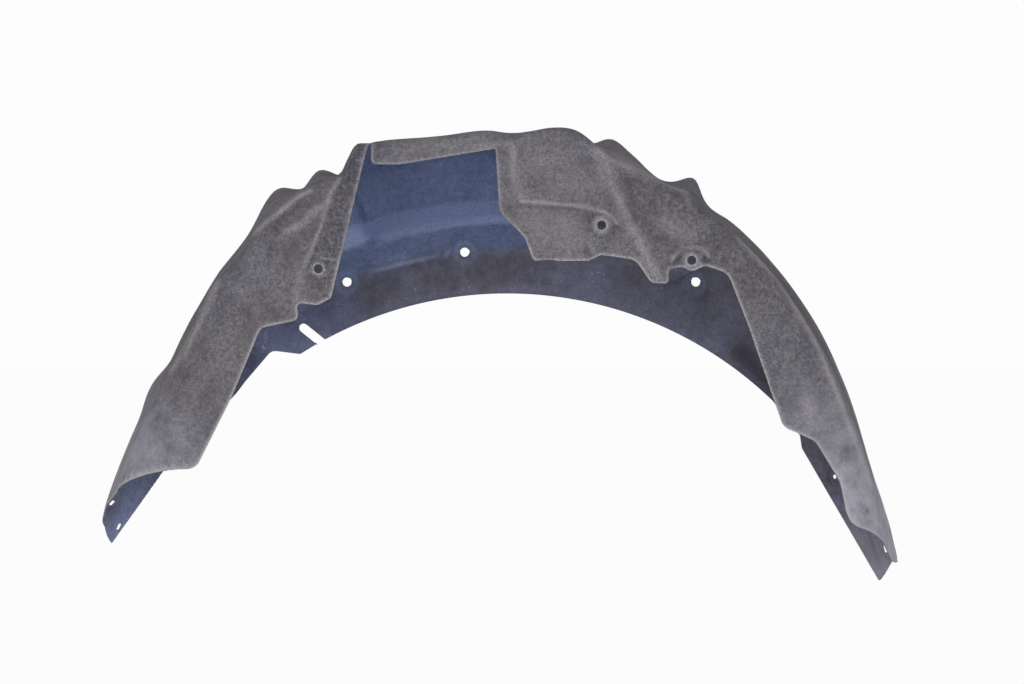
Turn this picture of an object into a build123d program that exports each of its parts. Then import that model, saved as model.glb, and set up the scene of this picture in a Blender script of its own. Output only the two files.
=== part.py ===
from build123d import *
import math
import os

# Wheel arch liner, moulded in one piece from a felt sheet.
# Lengths are in millimetres and angles in degrees about the wheel's axle line.
# The frame: +X forward along the car, +Y outboard, +Z up, with the origin midway between the two outer
# lip screws, on the outboard face of the lip.

# The sheet and the arch
THICKNESS = 3.0
LIP_RADIUS = 370.0
DEPTH = 260.0

# The two outer lip screws lie level, so the axle is found from them
LIP_SCREW_SPAN = 337.2
LIP_SCREW_RISE = 11.1
LIP_SCREW_OFFSET = 14.0
LIP_SCREW_HOLE = 9.0
LIP_MIDDLE_ANGLE = 95.7
LIP_MIDDLE_RISE = 42.0
LIP_SEAT = 14.0
LIP_SEAT_SPREAD = 3.2

# The crown: at each angle, how far the outboard fold stands above the lip circle, and how much lower the
# inboard fold lies than the outboard one
CROWN = [
    (6, 16, 44),
    (22, 24, 44),
    (30, 31, 34),
    (38, 51, 34),
    (50, 84, 34),
    (64, 118, 30),
    (79, 150, 31),
    (92, 149, 24),
    (105, 147, 25),
    (115, 149, 39),
    (120, 122, 32),
    (125, 107, 29),
    (136, 74, 28),
    (146, 60, 35),
    (158, 49, 45),
    (172, 30, 44),
]

# Stiffening ribs across the crown, and the valleys between them: angle, half width, height
RIBS = [
    (66.8, 1.8, -4.0),
    (69.8, 1.3, 11.0),
    (73.4, 2.6, -11.0),
    (79.0, 1.5, 6.0),
    (107.9, 1.4, -14.0),
    (112.3, 1.7, -16.0),
    (141.5, 3.0, 4.0),
]

# The raised roof over the strut, in three levels: from angle, to angle, height
ROOF = [
    (81.6, 88.2, 18.0),
    (88.2, 102.6, 12.0),
    (102.6, 106.2, 20.0),
]
ROOF_SOFT = 2.2

# The outboard wall leans inboard from a flat lip band and a crease. Under the roof its foot stands further
# inboard, with a ledge over it
LIP_SHARE = 0.29
LEAN = 0.5
LEDGE_FROM = 0.25
LEDGE_TO = 0.425
LEDGE_DEPTH = 19.0
LEDGE_RIGHT = 78.0
LEDGE_LEFT = 106.0
LEDGE_SOFT = 9.0

# The inboard wall, with a panel set back beside the centre opening
WALL_DROP = 116.0
PANEL_RISE = 73.0
PANEL_DEPTH = 8.0
PANEL_FROM = 80.2
PANEL_TO = 88.9
PANEL_CORNER = 8.0
PANEL_STEPS = 4

# Bend radii on the outer face
INBOARD_FOLD = 17.0
INBOARD_FOLD_LEFT = 92.0
INBOARD_FOLD_RIGHT = 60.0
LEFT_FOLD_OPENS = (110.0, 150.0)
RIGHT_FOLD_OPENS = (46.0, 20.0)
OUTBOARD_FOLD = 26.0
TIGHTEST_INNER_FOLD = 0.6
FOLD_REACH = 0.48

# Stretches of sections, closer together under the ribs than down the legs: end angle, sections
FIRST_SECTION = 8.0
STRETCHES = [
    (58.0, 17),
    (78.0, 9),
    (92.0, 8),
    (103.0, 3),
    (116.0, 9),
    (130.0, 5),
    (170.0, 14),
]

# Free edge of the inboard wall, from the left leg to the right: angle, rise over the lip circle, corner radius
INBOARD_EDGE = [
    (146.6, -31.7, 6),
    (130.8, -6.2, 60),
    (122.4, 27.0, 9),
    (117.7, 16.5, 6),
    (117.0, 31.0, 5),
    (114.7, 20.5, 6),
    (112.75, 21.5, 5),
    (103.58, 138.0, 0.8),
    (103.3, 138.0, 0.8),
    (103.7, 121.5, 5),
    (91.1, 117.0, 4),
    (90.8, 66.0, 16),
    (87.8, 44.0, 12),
    (86.6, 23.8, 6),
    (79.8, 29.6, 8),
    (78.4, 37.0, 8),
    (74.2, 39.6, 12),
    (71.5, 24.5, 7),
    (69.4, 29.0, 4),
    (70.0, 40.6, 4),
    (68.6, 47.4, 8),
    (67.2, 46.4, 7),
    (66.2, 55.5, 6),
    (63.4, 58.0, 14),
    (57.9, 25.5, 60),
    (46.2, -24.0, 12),
    (41.6, -12.5, 14),
    (31.0, -28.5, 30),
    (22.0, -30.0, 6),
]
PLAIN_CORNER = 1.0
EDGE_REACH = 24.0

# Raised flange along the centre opening: its inboard outline and how far it stands proud
FLANGE_EDGE = [
    (113.0, 14.0),
    (117.2, 22.0),
    (115.6, 44.0),
    (111.8, 77.0),
    (108.4, 104.0),
    (107.4, 110.0),
    (105.6, 126.0),
    (104.4, 131.0),
    (102.6, 131.0),
]
FLANGE_HEIGHT = 5.0

# Outboard lip edge
LOBE_ANGLE = 122.7
LOBE_STEP_ANGLE = 125.9
LOBE_STEP_RISE = 18.2
LEFT_TIP_ANGLE = 161.4
LEFT_TIP_RISE = 34.6
RIGHT_LEG_ANGLE = 46.1
RIGHT_TIP_ANGLE = 14.5
RIGHT_TIP_RISE = 2.2
RIGHT_CORNER_ANGLE = 17.0
RIGHT_CORNER_RISE = 16.8

# Slot cut into the lip at the lobe
SLOT_WIDTH = 8.5
SLOT_END_ANGLE = 120.3
SLOT_END_RISE = 20.0
SLOT_MOUTH_ANGLE = 118.6
SLOT_MOUTH_RISE = -8.0

# Leg ends: heights over the axle at the inboard wall, at the outboard fold and at the tip
LEFT_END_HEIGHTS = (213.0, 146.0, 110.0)
RIGHT_END_HEIGHTS = (168.0, 113.0, 88.0)
END_FOLD = 22.0

# Screw holes through the inboard wall, each in a round seat pressed into the felt: angle, rise, and how far
# the wall stands proud there
INBOARD_SCREWS = [
    (112.8, 49.1, FLANGE_HEIGHT),
    (79.0, 62.3, 0),
    (67.8, 55.5, 0),
]
INBOARD_HOLE = 8.0
INBOARD_SEAT = 20.0
INBOARD_SEAT_DEPTH = 1.0

# Small clip slots near the leg ends, in the outboard wall: angle, rise, turn of the slot
CLIP_SLOTS = [
    (156.0, 45.0, 60.0),
    (158.8, 31.5, 60.0),
    (31.3, 1.0, -60.0),
    (18.7, 15.0, -65.0),
]
CLIP_SLOT_LENGTH = 7.0
CLIP_SLOT_WIDTH = 3.2

# How far the sheet is made past the lip before it is trimmed, how far a cutter runs past the sheet, and how
# far a joined piece sinks into it
LIP_SPARE = 24.0
PAST = 30.0
SUNK = THICKNESS / 2

AXLE_X = -LIP_SCREW_OFFSET
AXLE_Z = -(LIP_RADIUS + LIP_SCREW_RISE)
INBOARD = -DEPTH


def bell(angle, centre, half_width):
    """A smooth hump of height 1 about a centre."""
    return math.exp(-(((angle - centre) / half_width) ** 2))


def ramp(angle, start, end):
    """Goes smoothly from 0 at the start to 1 at the end."""
    share = min(max((angle - start) / (end - start), 0.0), 1.0)
    return share * share * (3 - 2 * share)


def plateau(angle, start, end, soft):
    """1 between two angles, with soft sides."""
    rise = ramp(angle, start - soft / 2, start + soft / 2)
    fall = ramp(angle, end - soft / 2, end + soft / 2)
    return rise - fall


def along_crown(angle, column):
    """A value of the crown table at any angle, on a smooth curve through the table's rows."""
    last = len(CROWN) - 1
    row = 0
    while row < last - 1 and angle > CROWN[row + 1][0]:
        row += 1

    def slope(index):
        before = CROWN[max(index - 1, 0)]
        after = CROWN[min(index + 1, last)]
        return (after[column] - before[column]) / (after[0] - before[0])

    gap = CROWN[row + 1][0] - CROWN[row][0]
    t = (angle - CROWN[row][0]) / gap
    start, end = CROWN[row][column], CROWN[row + 1][column]
    pull = (t**3 - 2 * t**2 + t) * slope(row) + (t**3 - t**2) * slope(row + 1)
    return start + (end - start) * (3 * t**2 - 2 * t**3) + pull * gap


def rim(angle, rise):
    """A point of an XZ profile, at an angle and a height over the lip circle."""
    radius = LIP_RADIUS + rise
    turn = math.radians(angle)
    return Vector(AXLE_X + radius * math.cos(turn), AXLE_Z + radius * math.sin(turn))


def wheel_angle(x, z):
    """The angle about the axle of a point of an XZ profile."""
    return math.degrees(math.atan2(z - AXLE_Z, x - AXLE_X))


def wheel_rise(x, z):
    """The height over the lip circle of a point of an XZ profile."""
    return math.hypot(x - AXLE_X, z - AXLE_Z) - LIP_RADIUS


# Lip screws, left, middle and right
LIP_SCREWS = [
    Vector(-LIP_SCREW_SPAN / 2, 0),
    rim(LIP_MIDDLE_ANGLE, LIP_MIDDLE_RISE),
    Vector(LIP_SCREW_SPAN / 2, 0),
]


def inboard_fold_rise(angle):
    """Height of the inboard fold over the lip circle, with the raised roof."""
    roof = sum(height * plateau(angle, start, end, ROOF_SOFT) for start, end, height in ROOF)
    return along_crown(angle, 1) - along_crown(angle, 2) + roof


def section_corners(angle):
    """Corners of the outer face's section at an angle, from the inboard wall's foot to the lip, as radius
    over the axle and Y, with the bend radius at each corner (0 for a sharp one)."""
    ribs = sum(height * bell(angle, at, half) for at, half, height in RIBS)
    far = LIP_RADIUS + along_crown(angle, 1) + ribs
    near = LIP_RADIUS + inboard_fold_rise(angle)
    plain_crease = LIP_RADIUS + LIP_SHARE * along_crown(angle, 1)
    crease = plain_crease
    for screw in LIP_SCREWS:
        seat_top = LIP_RADIUS + wheel_rise(screw.X, screw.Y) + LIP_SEAT
        crease += (seat_top - plain_crease) * bell(angle, wheel_angle(screw.X, screw.Y), LIP_SEAT_SPREAD)
    wall = far - plain_crease
    ledge_foot = max(plain_crease + LEDGE_FROM * wall, crease + THICKNESS)
    ledge_top = max(plain_crease + LEDGE_TO * wall, ledge_foot + THICKNESS)
    ledge = LEDGE_DEPTH * plateau(angle, LEDGE_RIGHT, LEDGE_LEFT, LEDGE_SOFT)
    left = ramp(angle, *LEFT_FOLD_OPENS)
    right = 1 - ramp(angle, *RIGHT_FOLD_OPENS[::-1])
    inboard_fold = INBOARD_FOLD + (INBOARD_FOLD_LEFT - INBOARD_FOLD) * left
    inboard_fold += (INBOARD_FOLD_RIGHT - INBOARD_FOLD) * right

    return [
        (near - WALL_DROP, INBOARD, 0),
        (near, INBOARD, inboard_fold),
        (far, -LEAN * wall, OUTBOARD_FOLD),
        (ledge_top, LEAN * (plain_crease - ledge_top), 0),
        (ledge_foot, LEAN * (plain_crease - ledge_foot) - ledge, 0),
        (crease, 0, 0),
        (LIP_RADIUS - LIP_SPARE, 0, 0),
    ]


def inset(points, distance):
    """The corners of a path moved to its left-hand side by a distance."""
    runs = [(end - start).normalized() for start, end in zip(points, points[1:])]
    sides = [Vector(-run.Y, run.X) for run in runs]
    moved = [points[0] + sides[0] * distance]
    for corner, before, after in zip(points[1:-1], sides, sides[1:]):
        moved.append(corner + (before + after) * (distance / (1 + before.dot(after))))
    moved.append(points[-1] + sides[-1] * distance)
    return moved


def bent_path(points, bends):
    """Edges along a path, with an arc at each corner that has a bend radius."""
    edges = []
    start = points[0]
    shares = [FOLD_REACH if first and second else 2 * FOLD_REACH for first, second in zip(bends, bends[1:])]
    rooms = [share * (b - a).length for share, a, b in zip(shares, points, points[1:])]
    for index, corner in enumerate(points[1:-1], start=1):
        bend = bends[index]
        if bend == 0:
            edges.append(Edge.make_line(start, corner))
            start = corner
            continue
        run_in = (corner - points[index - 1]).normalized()
        run_out = (points[index + 1] - corner).normalized()
        half_turn = math.radians(run_in.get_angle(run_out)) / 2
        reach = min(bend * math.tan(half_turn), rooms[index - 1], rooms[index])
        arc_start = corner - run_in * reach
        arc_end = corner + run_out * reach
        edges.append(Edge.make_line(start, arc_start))
        edges.append(Edge.make_tangent_arc(arc_start, run_in, arc_end))
        start = arc_end
    edges.append(Edge.make_line(start, points[-1]))
    return edges


def section(angle):
    """The sheet's closed section at an angle about the axle."""
    corners = section_corners(angle)
    outer = [Vector(radius, y) for radius, y, bend in corners]
    bends = [bend for radius, y, bend in corners]
    inner = inset(outer, THICKNESS)
    inner_bends = [max(bend - THICKNESS, TIGHTEST_INNER_FOLD) if bend else 0 for bend in bends]
    edges = bent_path(outer, bends)
    edges.append(Edge.make_line(outer[-1], inner[-1]))
    edges += bent_path(inner[::-1], inner_bends[::-1])
    edges.append(Edge.make_line(inner[0], outer[0]))
    turn = math.radians(angle)
    plane = Plane(
        origin=(AXLE_X, 0, AXLE_Z),
        x_dir=(math.cos(turn), 0, math.sin(turn)),
        z_dir=(-math.sin(turn), 0, math.cos(turn)),
    )
    return plane * Face(Wire(edges))


def stations():
    """Angles of the sections."""
    angles = [FIRST_SECTION]
    for end, count in STRETCHES:
        start = angles[-1]
        angles += [start + (end - start) * (step + 1) / count for step in range(count)]
    return angles


def between(profile, y_from, y_to):
    """A profile drawn in X and Z, as a solid between two Y levels."""
    return extrude(Plane.XZ.offset(-y_to) * profile, amount=y_to - y_from)


def inboard_trim():
    """What is cut away below the free edge of the inboard wall, with the centre opening."""
    points = [rim(angle, rise) for angle, rise, corner in INBOARD_EDGE]
    corners = [corner for angle, rise, corner in INBOARD_EDGE]
    first, last = INBOARD_EDGE[0][0], INBOARD_EDGE[-1][0]
    below = -(WALL_DROP + PAST)
    points += [rim(last, below), rim(90, below), rim(first, below)]
    corners += [PLAIN_CORNER] * 3
    return make_face(FilletPolyline(*points, radius=corners, close=True))


def outboard_trim():
    """What is cut away inside the lip edge: the wheel circle between two straighter legs."""
    lobe_end = rim(LOBE_ANGLE, 0)
    lobe_step = rim(LOBE_STEP_ANGLE, LOBE_STEP_RISE)
    left_tip = rim(LEFT_TIP_ANGLE, LEFT_TIP_RISE)
    left_past = left_tip + (left_tip - lobe_step).normalized() * PAST
    leg_top = rim(RIGHT_LEG_ANGLE, 0)
    right_tip = rim(RIGHT_TIP_ANGLE, RIGHT_TIP_RISE)
    right_corner = rim(RIGHT_CORNER_ANGLE, RIGHT_CORNER_RISE)
    right_past = right_corner + (right_corner - right_tip).normalized() * PAST
    axle = Vector(AXLE_X, AXLE_Z)
    circle = ThreePointArc(lobe_end, rim(90, 0), leg_top)
    right_leg = [leg_top, right_tip, right_corner, right_past, rim(0, PAST)]
    left_leg = [left_past, lobe_step, lobe_end]
    return make_face([circle, Polyline(*right_leg, axle, *left_leg)])


def lip_slot():
    """The slot that runs into the lip at the lobe, with a round inner end."""
    inner_end = rim(SLOT_END_ANGLE, SLOT_END_RISE)
    mouth = rim(SLOT_MOUTH_ANGLE, SLOT_MOUTH_RISE)
    run = mouth - inner_end
    middle = (inner_end + mouth) / 2
    turn = math.degrees(math.atan2(run.Y, run.X))
    return Pos(middle.X, middle.Y) * Rot(0, 0, turn) * SlotCenterToCenter(run.length, SLOT_WIDTH)


def leg_end_cut(heights, x_from, x_to):
    """What is cut away below a leg's slanting end, seen from the side of the car."""
    inboard, fold, tip = [AXLE_Z + height for height in heights]
    slope = (fold - inboard) / (DEPTH - END_FOLD)
    floor = AXLE_Z - LIP_RADIUS / 2
    outline = Polyline(
        (INBOARD - PAST, inboard - slope * PAST),
        (-END_FOLD, fold),
        (THICKNESS, tip),
        (PAST, tip),
        (PAST, floor),
        (INBOARD - PAST, floor),
        close=True,
    )
    return extrude(Plane.YZ.offset(x_from) * make_face(outline), amount=x_to - x_from)


def panel_outline(top_gap):
    """Outline of the panel set back in the inboard wall, ending a gap below the fold."""
    span = (PANEL_TO - PANEL_FROM) / PANEL_STEPS
    angles = [PANEL_FROM + span * step for step in range(PANEL_STEPS + 1)]
    top = [rim(angle, inboard_fold_rise(angle) - top_gap) for angle in angles]
    foot = [rim(PANEL_TO, PANEL_RISE), rim(PANEL_FROM, PANEL_RISE)]
    corners = [PLAIN_CORNER] * len(top) + [PANEL_CORNER] * 2
    return make_face(FilletPolyline(*top, *foot, radius=corners, close=True))


def flange_outline():
    """Outline of the raised flange beside the centre opening."""
    return make_face(Polyline(*[rim(angle, rise) for angle, rise in FLANGE_EDGE], close=True))


def liner():
    """The whole liner: a lofted sheet, trimmed, embossed and pierced."""
    sheet = loft([section(angle) for angle in stations()], ruled=True)

    reach = LIP_RADIUS * 2
    sheet -= leg_end_cut(LEFT_END_HEIGHTS, AXLE_X - reach, AXLE_X)
    sheet -= leg_end_cut(RIGHT_END_HEIGHTS, AXLE_X, AXLE_X + reach)
    sheet -= between(outboard_trim(), -PAST, PAST)
    sheet -= between(lip_slot(), -PAST, PAST)

    panel_back = INBOARD + PANEL_DEPTH
    tray = offset(panel_outline(2 * THICKNESS), THICKNESS)
    sheet += between(tray, INBOARD + SUNK, panel_back + THICKNESS)
    sheet -= between(panel_outline(-PAST), INBOARD - PAST, panel_back)

    flange = flange_outline()
    proud = INBOARD - FLANGE_HEIGHT
    sheet += between(flange, proud, INBOARD + SUNK)
    sheet -= between(offset(flange, -THICKNESS), proud + THICKNESS, INBOARD + THICKNESS + SUNK)
    sheet -= between(inboard_trim(), INBOARD - PAST, INBOARD + EDGE_REACH)

    holes = []
    for screw in LIP_SCREWS:
        holes.append(between(Pos(screw.X, screw.Y) * Circle(LIP_SCREW_HOLE / 2), -PAST, PAST))
    for angle, rise, stands in INBOARD_SCREWS:
        at = rim(angle, rise)
        seat = INBOARD - stands + INBOARD_SEAT_DEPTH
        holes.append(between(Pos(at.X, at.Y) * Circle(INBOARD_HOLE / 2), INBOARD - PAST, INBOARD + PAST))
        holes.append(between(Pos(at.X, at.Y) * Circle(INBOARD_SEAT / 2), INBOARD - PAST, seat))
    for angle, rise, turn in CLIP_SLOTS:
        at = rim(angle, rise)
        slot = Pos(at.X, at.Y) * Rot(0, 0, turn) * SlotOverall(CLIP_SLOT_LENGTH, CLIP_SLOT_WIDTH)
        holes.append(between(slot, -PAST, PAST))
    return sheet - holes


os.makedirs("parts", exist_ok=True)
part = liner()
export_step(part, "parts/liner.step")
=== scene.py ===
"""A used wheel arch liner, moulded in one piece from needled felt, on a plain pale floor.

The sheet is shaped about the axle in millimetres, from the same sections as the solid, and scaled to metres
at the end. +X is along the car, +Y outboard and +Z up, with the origin midway between the outer lip screws.
A point of the form is given as an angle about the axle in degrees and a rise over the lip circle.
"""

import logging
import math
from collections.abc import Sequence
from dataclasses import dataclass, field
from enum import Enum, IntEnum

import bmesh
import bpy
import numpy as np
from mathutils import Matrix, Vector, noise

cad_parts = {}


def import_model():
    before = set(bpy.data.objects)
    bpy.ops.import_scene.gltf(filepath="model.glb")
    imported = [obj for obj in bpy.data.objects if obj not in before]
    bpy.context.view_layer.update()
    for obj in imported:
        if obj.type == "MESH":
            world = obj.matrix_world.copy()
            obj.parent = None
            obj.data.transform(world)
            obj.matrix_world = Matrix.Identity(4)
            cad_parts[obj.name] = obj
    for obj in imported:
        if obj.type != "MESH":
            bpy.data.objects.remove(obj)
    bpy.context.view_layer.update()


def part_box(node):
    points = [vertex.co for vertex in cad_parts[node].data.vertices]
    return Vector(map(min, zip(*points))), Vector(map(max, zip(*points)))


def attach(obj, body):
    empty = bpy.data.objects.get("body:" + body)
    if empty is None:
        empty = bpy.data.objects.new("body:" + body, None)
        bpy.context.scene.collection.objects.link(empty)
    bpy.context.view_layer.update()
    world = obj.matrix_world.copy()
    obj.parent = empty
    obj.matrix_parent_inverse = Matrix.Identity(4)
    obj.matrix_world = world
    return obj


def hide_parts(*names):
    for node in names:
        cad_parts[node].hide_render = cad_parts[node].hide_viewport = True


LOG = logging.getLogger("wheel_arch_liner")
MM = 0.001
Pair = tuple[float, float]
Triple = tuple[float, float, float]
Line = tuple[Pair, ...]
Screen = tuple[int, int, int]
Array = np.ndarray
Mesh = bmesh.types.BMesh
Socket = bpy.types.NodeSocket


def ramp(value: Array, start: float, end: float) -> Array:
    """A smooth change from 0 at the start to 1 at the end, which may lie below the start.

    Args:
        value: Where to read the ramp.
        start: Value at which the ramp leaves 0.
        end: Value at which it reaches 1.

    Returns:
        The ramp's height at each value.
    """
    share = np.clip((value - start) / (end - start), 0.0, 1.0)
    return share * share * (3 - 2 * share)


def bell(value: Array, centre: float, half_width: float) -> Array:
    """A smooth hump of height 1 about a centre.

    Args:
        value: Where to read the hump.
        centre: Value at its top.
        half_width: How far from the top it falls to about a third.

    Returns:
        The hump's height at each value.
    """
    return np.exp(-(((value - centre) / half_width) ** 2))


def plateau(value: Array, start: float, end: float, soft: float) -> Array:
    """1 between two values, with soft sides.

    Args:
        value: Where to read the plateau.
        start: Middle of its rising side.
        end: Middle of its falling side.
        soft: Width of each side.

    Returns:
        The plateau's height at each value.
    """
    return ramp(value, start - soft / 2, start + soft / 2) - ramp(value, end - soft / 2, end + soft / 2)


def along(rows: tuple[tuple[float, ...], ...], column: int, angle: Array) -> Array:
    """A table's value at any angle, on a smooth curve through its rows.

    Args:
        rows: Table whose first column is the angle.
        column: Which column to read.
        angle: Angles at which to read it.

    Returns:
        The value at each angle.
    """
    at = np.array([row[0] for row in rows], float)
    value = np.array([row[column] for row in rows], float)
    slope = np.gradient(value, at)
    index = np.clip(np.searchsorted(at, angle) - 1, 0, len(at) - 2)
    gap = at[index + 1] - at[index]
    t = np.clip((angle - at[index]) / gap, 0.0, 1.0)
    pull = (t**3 - 2 * t**2 + t) * slope[index] + (t**3 - t**2) * slope[index + 1]
    step = value[index + 1] - value[index]
    return value[index] + step * (3 * t**2 - 2 * t**3) + pull * gap


def distance_to_path(points: Array, path: Array) -> Array:
    """How far each point lies from an open path.

    Args:
        points: Points, one to a row.
        path: Corners of the path, one to a row.

    Returns:
        The distance of each point.
    """
    best = np.full(len(points), np.inf)
    for start, end in zip(path, path[1:]):
        run = end - start
        share = np.clip((points - start) @ run / (run @ run), 0.0, 1.0)
        gap = points - start - share[:, None] * run
        best = np.minimum(best, np.hypot(gap[:, 0], gap[:, 1]))
    return best


def depth_inside(points: Array, outline: Array) -> Array:
    """How far each point lies inside a closed outline, negative outside it.

    Args:
        points: Points, one to a row.
        outline: Corners of the outline, one to a row.

    Returns:
        The depth of each point.
    """
    closed = np.vstack([outline, outline[:1]])
    inside = np.zeros(len(points), bool)
    for (x0, z0), (x1, z1) in zip(closed, closed[1:]):
        if z0 == z1:
            continue
        spans = (z0 > points[:, 1]) != (z1 > points[:, 1])
        inside ^= spans & (points[:, 0] < (x1 - x0) * (points[:, 1] - z0) / (z1 - z0) + x0)
    distance = distance_to_path(points, closed)
    return np.where(inside, distance, -distance)


def rounded(corners: Array, radii: list[float], steps: int = 7, most: float = 0.48) -> Array:
    """A closed outline with its corners rounded.

    Args:
        corners: Corners of the outline, one to a row.
        radii: Radius at each corner.
        steps: Points on each rounded corner.
        most: Most of a side that one corner takes up.

    Returns:
        The rounded outline's points.
    """
    points = []
    count = len(corners)
    for index, radius in enumerate(radii):
        corner = corners[index]
        back, ahead = corners[index - 1] - corner, corners[(index + 1) % count] - corner
        back_length, ahead_length = np.hypot(*back), np.hypot(*ahead)
        back, ahead = back / back_length, ahead / ahead_length
        half = math.acos(max(-1.0, min(1.0, float(back @ ahead)))) / 2
        reach = min(radius / math.tan(half), most * back_length, most * ahead_length)
        for share in np.linspace(0.0, 1.0, steps):
            pulled = (1 - share) ** 2 * back + share**2 * ahead
            points.append(corner + reach * pulled)
    return np.array(points)


def past(start: Array, end: Array, reach: float) -> Array:
    """A point on the line from a start through an end, some way past the end."""
    run = end - start
    return end + run / np.hypot(*run) * reach


def add_object(name: str, data: bpy.types.ID) -> bpy.types.Object:
    """A new object in the scene.

    Args:
        name: The object's name.
        data: Its mesh, light or camera.

    Returns:
        The object.
    """
    item = bpy.data.objects.new(name, data)
    bpy.context.scene.collection.objects.link(item)
    return item


def mesh_object(name: str, mesh: Mesh) -> bpy.types.Object:
    """A new object in the scene from a finished mesh.

    Args:
        name: The object's name.
        mesh: The mesh, which is freed.

    Returns:
        The object.
    """
    data = bpy.data.meshes.new(name)
    mesh.to_mesh(data)
    mesh.free()
    return add_object(name, data)


def add_node(tree: bpy.types.NodeTree, kind: str, **values: float) -> bpy.types.Node:
    """A new shader node.

    Args:
        tree: Where it is added.
        kind: Its kind, without the words that all shader nodes start with.
        values: Plain values of its inputs, with a low line for each space in an input's name.

    Returns:
        The node.
    """
    node = tree.nodes.new("ShaderNode" + kind)
    for name, value in values.items():
        node.inputs[name.replace("_", " ")].default_value = value
    return node


def tone(red: int, green: int, blue: int) -> Triple:
    """A screen colour of 0 to 255 as the linear colour that a shader takes."""

    def linear(value: int) -> float:
        """One channel, by the screen's standard curve."""
        share = value / 255
        return share / 12.92 if share <= 0.04045 else ((share + 0.055) / 1.055) ** 2.4

    return linear(red), linear(green), linear(blue)


class Side(IntEnum):
    """Material slots of the sheet."""

    BODY = 0
    WHEEL = 1
    CUT = 2


class Wear(Enum):
    """Attributes that carry the sheet's wear, tint, painted shade and painted light to its finishes."""

    EDGE = "worn_edge"
    SHADE_AND_SOIL = "shade_and_soil"
    LEG = "leg_tint"
    BLUE = "wheel_blue"
    DUST_AND_LIGHT = "wheel_dust_and_light"


@dataclass(frozen=True)
class Axle:
    """The axle line, which the form is measured about."""

    x: float = -14.0
    z: float = -381.1
    lip_radius: float = 370.0

    def at(self, angle: float, rise: float) -> Array:
        """A point in X and Z, at an angle and a rise over the lip circle."""
        radius, turn = self.lip_radius + rise, math.radians(angle)
        return np.array([self.x + radius * math.cos(turn), self.z + radius * math.sin(turn)])

    def path(self, points: Sequence[Pair]) -> Array:
        """Points in X and Z from angles and rises."""
        return np.array([self.at(angle, rise) for angle, rise in points])

    def from_point(self, flat: Array, angle: float, rise: float) -> Array:
        """How far each place in X and Z lies from a point."""
        return np.hypot(*(flat - self.at(angle, rise)).T)

    def from_path(self, flat: Array, points: Sequence[Pair]) -> Array:
        """How far each place in X and Z lies from an open path."""
        return distance_to_path(flat, self.path(points))


@dataclass(frozen=True)
class Ridge:
    """A streak along a line, worn pale, or darkened by painted shade and soil where it is negative, and the
    fold pressed there, if any.
    """

    points: Line
    worn: float
    width: float
    height: float = 0.0
    half_width: float = 1.0


@dataclass(frozen=True)
class Step:
    """A field of the inboard wall that stands proud of it, or is set back where its height is negative."""

    outline: Line
    height: float
    soft: float


@dataclass(frozen=True)
class Seat:
    """A dish pressed around a screw hole, round above and run out below, with a pale ring at the hole and
    painted shade in the dish.
    """

    angle: float
    rise: float
    radius: float
    depth: float
    run_out: float
    hole: float = 0.0
    ring: float = 0.0
    shade: float = 0.0
    ring_radius: float = 6.5


@dataclass(frozen=True)
class Slot:
    """A straight slot with round ends, between two points."""

    start: Pair
    end: Pair
    width: float


@dataclass(frozen=True)
class Patch:
    """A mark over a span of angles, with soft sides."""

    strength: float
    start: float
    end: float
    soft: float

    def over(self, angle: Array) -> Array:
        """The mark's strength at each angle."""
        return self.strength * plateau(angle, self.start, self.end, self.soft)


@dataclass(frozen=True)
class Slope:
    """A mark that grows from one angle to another, and goes on beyond it."""

    strength: float
    start: float
    end: float

    def over(self, angle: Array) -> Array:
        """The mark's strength at each angle."""
        return self.strength * ramp(angle, self.start, self.end)


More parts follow.
